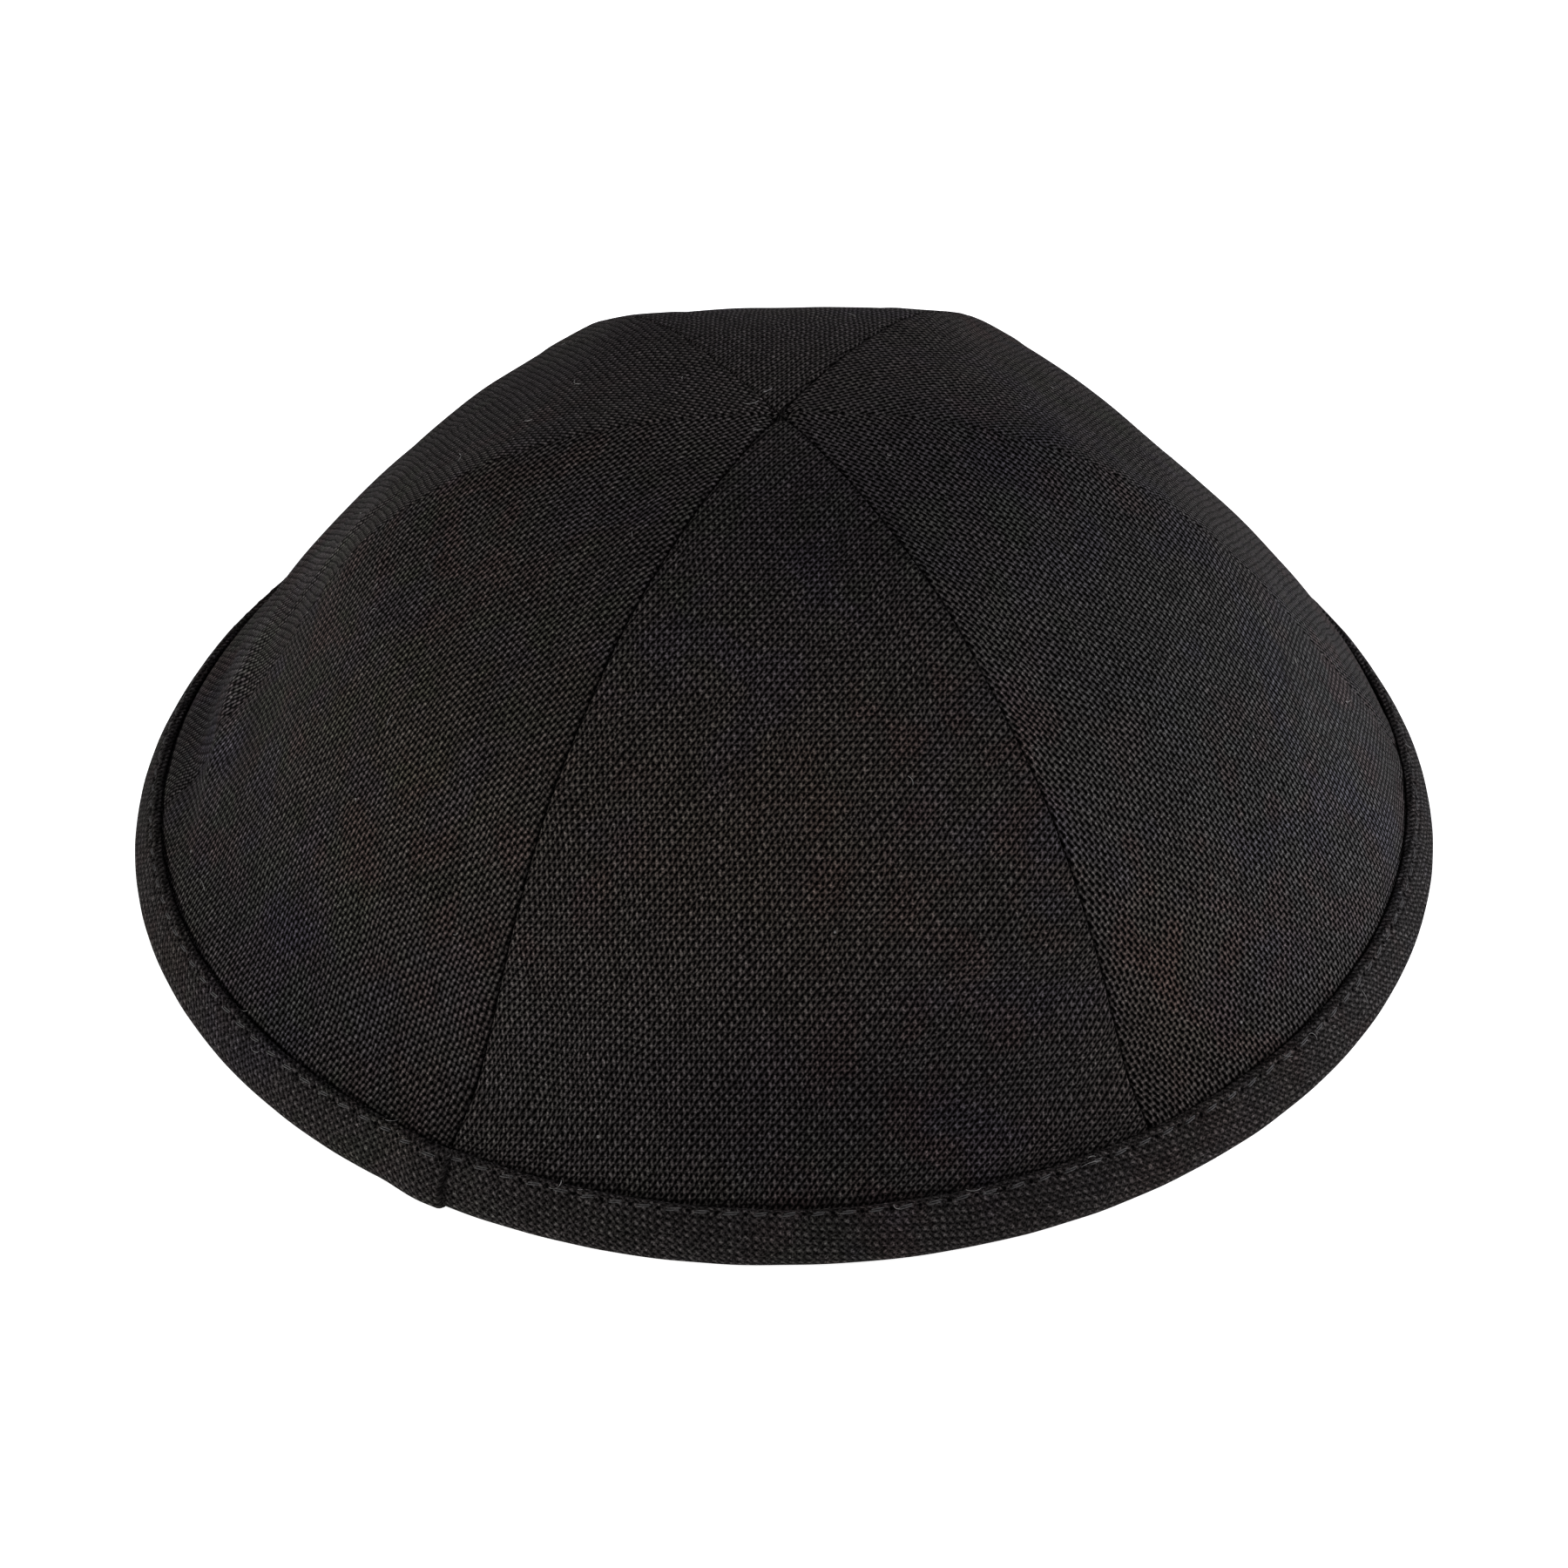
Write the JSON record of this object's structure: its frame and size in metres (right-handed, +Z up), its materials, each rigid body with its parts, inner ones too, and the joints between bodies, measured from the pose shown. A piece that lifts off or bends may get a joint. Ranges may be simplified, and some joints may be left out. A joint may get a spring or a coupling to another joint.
{
  "type": "skullcap",
  "caption": "Soft domed skullcap of sewn linen panels that meet at the top, its lower edge wrapped in a narrow folded binding with a lapped end.",
  "frame": {"origin": "middle of the bounding box on the plane that the rim stands on", "axes": "+Z up through the top of the crown, -Y through the front panel, +X to the wearer's left as seen from the front"},
  "size_m": [0.166, 0.166, 0.06],
  "materials": {
    "crown_cloth": "matt black plain-weave linen",
    "binding_cloth": "matt black plain-weave linen cut on the bias"
  },
  "bodies": {
    "root": {"panel_front": "crown_cloth", "panel_front_right": "crown_cloth", "panel_back_right": "crown_cloth", "panel_back": "crown_cloth", "panel_back_left": "crown_cloth", "panel_front_left": "crown_cloth", "rim_binding": "binding_cloth"}
  },
  "joints": []
}
